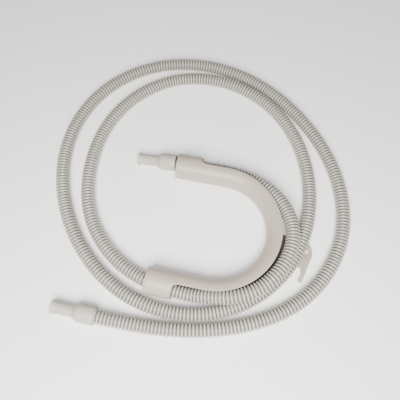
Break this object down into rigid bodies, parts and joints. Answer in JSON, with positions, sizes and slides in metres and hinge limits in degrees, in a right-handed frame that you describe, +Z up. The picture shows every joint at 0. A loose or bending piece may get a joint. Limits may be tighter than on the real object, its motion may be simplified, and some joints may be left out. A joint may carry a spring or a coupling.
{
  "type": "drain hose with bend guide",
  "caption": "Ribbed drain hose for a dryer or washer, with a soft cuff on each end and a hooked bend guide that turns its end down into a sink or standpipe.",
  "frame": {"origin": "centre of the laid-out hose's bounding box, on the surface that it lies on", "axes": "+Z up; +X from the guide's collars towards its bend, along the two legs; +Y from the guide's near leg to its far leg"},
  "size_m": [0.4265, 0.4435, 0.042],
  "materials": {
    "hose_plastic": "matt grey-white polyethylene, ribbed",
    "guide_plastic": "satin grey-beige moulded plastic",
    "cuff_rubber": "matt warm grey soft rubber"
  },
  "bodies": {
    "root": {"drain_hose": "hose_plastic", "bend_guide": "guide_plastic", "long_end_cuff": "cuff_rubber", "guide_end_cuff": "cuff_rubber"}
  },
  "joints": []
}
